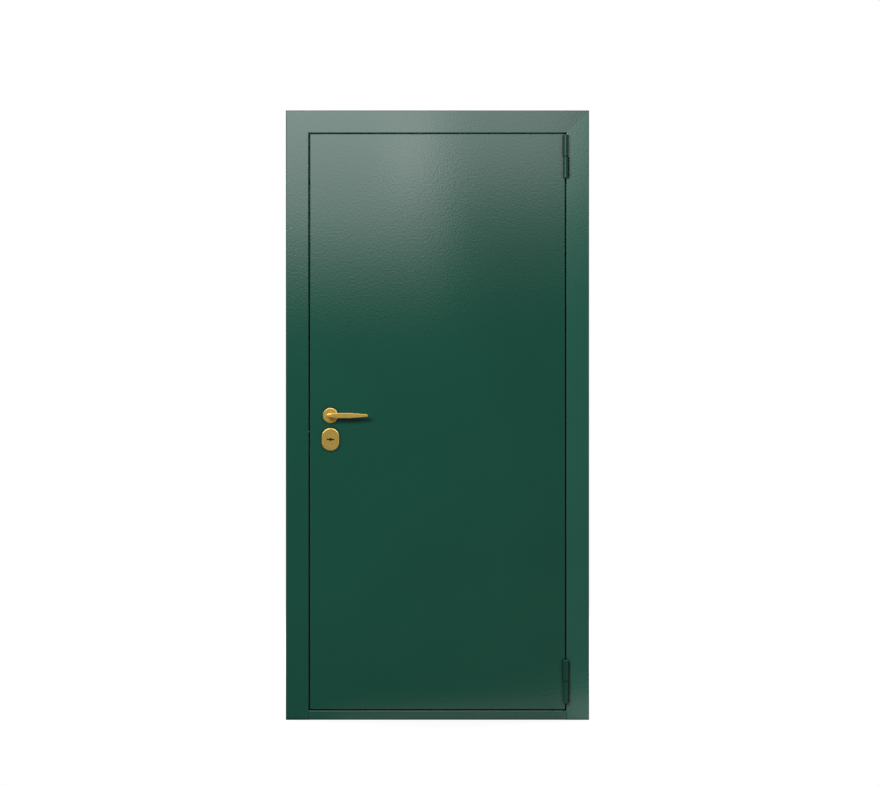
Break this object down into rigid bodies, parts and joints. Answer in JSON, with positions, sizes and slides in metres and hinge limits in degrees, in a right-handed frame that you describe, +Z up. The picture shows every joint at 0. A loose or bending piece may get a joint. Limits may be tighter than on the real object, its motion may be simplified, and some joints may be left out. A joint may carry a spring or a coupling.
{
  "type": "flush steel entrance door with frame",
  "caption": "Flush green steel front door in its folded steel frame, with casing, barrel hinges, a gold lever handle on a round rose and a keyed lock with thrown bolts.",
  "frame": {"origin": "middle of the sill's underside at floor level, on the plane of the wall's face", "axes": "+X across the door towards its hinges, +Y into the wall, +Z up"},
  "size_m": [1.04, 0.176, 2.09],
  "materials": {
    "green_paint": "satin",
    "gold_metal": "gloss",
    "bare_steel": "satin",
    "zinc_plate": "satin",
    "seal_rubber": "matte",
    "cap_plastic": "matte",
    "mineral_wool": "matte",
    "black_steel": "satin"
  },
  "bodies": {
    "frame": {"hinge_jamb": "green_paint", "lock_jamb": "green_paint", "head_rail": "green_paint", "sill": "green_paint", "frame_seal": "seal_rubber", "anchor_caps": "cap_plastic", "strike_backing": "bare_steel", "strike_plate": "bare_steel", "strike_screws": "zinc_plate", "hinge_frame_knuckle_top": "green_paint", "hinge_frame_knuckle_bottom": "green_paint", "hinge_pin_top": "bare_steel", "hinge_pin_bottom": "bare_steel", "hinge_washer_top": "black_steel", "hinge_washer_bottom": "black_steel"},
    "leaf": {"outer_skin": "green_paint", "inner_skin": "green_paint", "stiffener_ribs": "bare_steel", "insulation": "mineral_wool", "anti_lift_pins": "green_paint", "hinge_leaf_knuckle_top": "green_paint", "hinge_leaf_knuckle_bottom": "green_paint", "lock_case": "zinc_plate", "lock_cover": "zinc_plate", "lock_faceplate": "gold_metal", "faceplate_screws": "zinc_plate", "lock_tabs": "bare_steel", "armour_plate": "bare_steel", "lever_cassette": "gold_metal", "outer_rose_base": "bare_steel", "outer_rose_cover": "gold_metal", "inner_rose_base": "bare_steel", "inner_rose_cover": "gold_metal", "rose_screws": "zinc_plate", "outer_escutcheon": "gold_metal", "inner_escutcheon": "gold_metal", "escutcheon_bolts": "gold_metal", "cover_rivet": "gold_metal", "latch_spring": "bare_steel"},
    "handle": {"outer_lever": "gold_metal", "inner_lever": "gold_metal", "spindle": "bare_steel", "follower": "gold_metal", "grub_screws": "black_steel"},
    "latch": {"latch_bolt": "black_steel"},
    "deadbolt": {"dead_bolts": "bare_steel", "bolt_carriage": "zinc_plate"},
    "shutter": {"keyhole_shutter": "gold_metal"},
    "cover": {"keyhole_cover": "gold_metal"}
  },
  "joints": [
    {"name": "leaf_swing", "type": "hinge", "parent": "frame", "child": "leaf", "pos_m": [0.4395, -0.025, 1.03], "axis": [0, 0, 1], "range_deg": [0, 170]},
    {"name": "handle_turn", "type": "hinge", "parent": "leaf", "child": "handle", "pos_m": [-0.3665, 0.015, 1.0435], "axis": [0, 1, 0], "range_deg": [0, 40], "stiffness_Nm_per_rad": 2, "springref_deg": -17.19},
    {"name": "latch_slide", "type": "slide", "parent": "leaf", "child": "latch", "axis": [1, 0, 0], "range_m": [0, 0.012], "deforming": ["latch_spring"]},
    {"name": "deadbolt_throw", "type": "slide", "parent": "leaf", "child": "deadbolt", "axis": [-1, 0, 0], "range_m": [0, 0.025]},
    {"name": "shutter_turn", "type": "hinge", "parent": "leaf", "child": "shutter", "pos_m": [-0.3665, -0.02, 0.9615], "axis": [0, 1, 0], "range_deg": [0, 90]},
    {"name": "cover_swing", "type": "hinge", "parent": "leaf", "child": "cover", "pos_m": [-0.3665, 0.051, 0.9945], "axis": [0, -1, 0], "range_deg": [0, 90]}
  ],
  "couplings": [
    {"joint": "latch_slide", "follows": "handle_turn", "m_per_rad": 0.017189}
  ]
}
